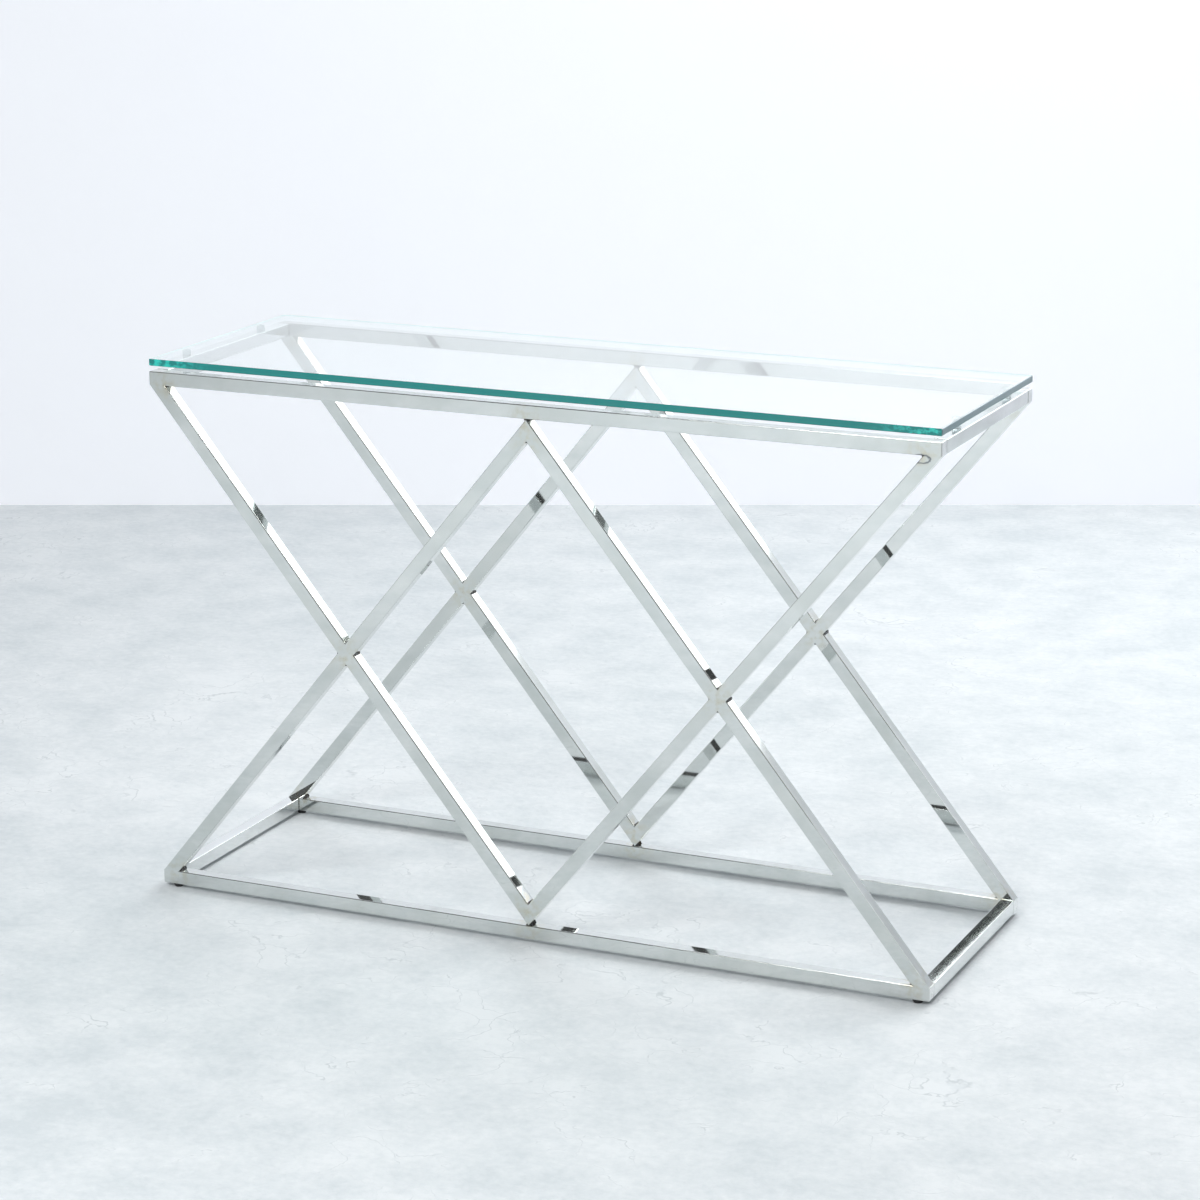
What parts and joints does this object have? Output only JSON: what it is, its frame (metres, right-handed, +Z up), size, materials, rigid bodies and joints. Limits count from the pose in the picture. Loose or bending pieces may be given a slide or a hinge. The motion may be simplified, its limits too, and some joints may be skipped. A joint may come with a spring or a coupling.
{
  "type": "console table",
  "caption": "Slim console table: clear glass top on pads over two mirror-polished square-tube trusses with crossed braces, end rails and levelling feet.",
  "frame": {"origin": "on the floor, under the middle of the table", "axes": "+X along the table's length to its right end, +Y from its front to its back, +Z up"},
  "size_m": [1.2, 0.4, 0.8],
  "materials": {
    "polished_steel": "mirror-polished stainless square tube, light grey-green where it reflects the room",
    "clear_glass": "clear toughened glass with polished, deep teal edges",
    "clear_rubber": "clear, slightly glossy soft disc",
    "black_plastic": "black moulded plastic, satin",
    "zinc_steel": "zinc-plated steel, dull silver"
  },
  "bodies": {
    "table_frame": {"back_bottom_left_end_cap": "polished_steel", "back_bottom_rail": "polished_steel", "back_bottom_right_end_cap": "polished_steel", "back_left_foot_bush": "zinc_steel", "back_left_lower_half_brace": "polished_steel", "back_left_through_brace": "polished_steel", "back_left_upper_half_brace": "polished_steel", "back_right_foot_bush": "zinc_steel", "back_right_lower_half_brace": "polished_steel", "back_right_through_brace": "polished_steel", "back_right_upper_half_brace": "polished_steel", "back_top_left_end_cap": "polished_steel", "back_top_rail": "polished_steel", "back_top_right_end_cap": "polished_steel", "front_bottom_left_end_cap": "polished_steel", "front_bottom_rail": "polished_steel", "front_bottom_right_end_cap": "polished_steel", "front_left_foot_bush": "zinc_steel", "front_left_lower_half_brace": "polished_steel", "front_left_through_brace": "polished_steel", "front_left_upper_half_brace": "polished_steel", "front_right_foot_bush": "zinc_steel", "front_right_lower_half_brace": "polished_steel", "front_right_through_brace": "polished_steel", "front_right_upper_half_brace": "polished_steel", "front_top_left_end_cap": "polished_steel", "front_top_rail": "polished_steel", "front_top_right_end_cap": "polished_steel", "glass_top": "clear_glass", "left_back_glass_pad": "clear_rubber", "left_bottom_back_screw": "zinc_steel", "left_bottom_back_spigot": "zinc_steel", "left_bottom_end_rail": "polished_steel", "left_bottom_front_screw": "zinc_steel", "left_bottom_front_spigot": "zinc_steel", "left_front_glass_pad": "clear_rubber", "left_top_back_screw": "zinc_steel", "left_top_back_spigot": "zinc_steel", "left_top_end_rail": "polished_steel", "left_top_front_screw": "zinc_steel", "left_top_front_spigot": "zinc_steel", "right_back_glass_pad": "clear_rubber", "right_bottom_back_screw": "zinc_steel", "right_bottom_back_spigot": "zinc_steel", "right_bottom_end_rail": "polished_steel", "right_bottom_front_screw": "zinc_steel", "right_bottom_front_spigot": "zinc_steel", "right_front_glass_pad": "clear_rubber", "right_top_back_screw": "zinc_steel", "right_top_back_spigot": "zinc_steel", "right_top_end_rail": "polished_steel", "right_top_front_screw": "zinc_steel", "right_top_front_spigot": "zinc_steel"},
    "front_left_foot_body": {"front_left_foot": "black_plastic"},
    "front_right_foot_body": {"front_right_foot": "black_plastic"},
    "back_left_foot_body": {"back_left_foot": "black_plastic"},
    "back_right_foot_body": {"back_right_foot": "black_plastic"}
  },
  "joints": [
    {"name": "front_left_foot_level", "type": "slide", "parent": "table_frame", "child": "front_left_foot_body", "axis": [0, 0, 1], "range_m": [-0.008, 0]},
    {"name": "front_right_foot_level", "type": "slide", "parent": "table_frame", "child": "front_right_foot_body", "axis": [0, 0, 1], "range_m": [-0.008, 0]},
    {"name": "back_left_foot_level", "type": "slide", "parent": "table_frame", "child": "back_left_foot_body", "axis": [0, 0, 1], "range_m": [-0.008, 0]},
    {"name": "back_right_foot_level", "type": "slide", "parent": "table_frame", "child": "back_right_foot_body", "axis": [0, 0, 1], "range_m": [-0.008, 0]}
  ]
}
